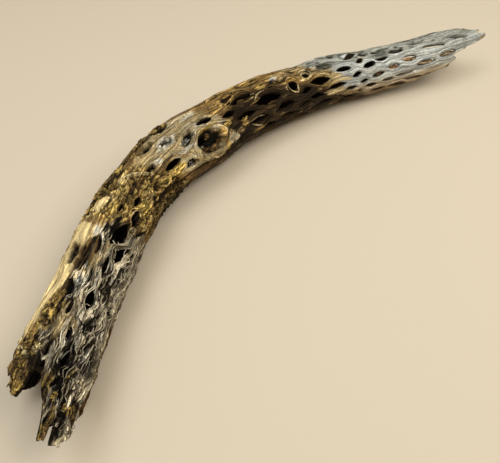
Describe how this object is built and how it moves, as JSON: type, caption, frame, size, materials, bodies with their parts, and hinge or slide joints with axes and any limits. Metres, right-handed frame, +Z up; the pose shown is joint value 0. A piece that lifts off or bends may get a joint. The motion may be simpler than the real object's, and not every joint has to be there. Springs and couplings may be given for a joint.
{
  "type": "skeleton wood branch",
  "caption": "Bowed, hollow branch of dried cactus skeleton wood, woven round lens-shaped holes, bleached grey at its thin end and frayed at its thick end.",
  "frame": {"origin": "middle of the branch's box, on the surface that it lies on", "axes": "+X from the thick frayed end to the thin bleached end, +Y towards the outside of the bow, +Z up"},
  "size_m": [0.702, 0.1962, 0.0721],
  "materials": {
    "weathered_wood": "weathered, matt, golden to dark brown with a bleached grey end"
  },
  "bodies": {
    "root": {"branch": "weathered_wood"}
  },
  "joints": []
}
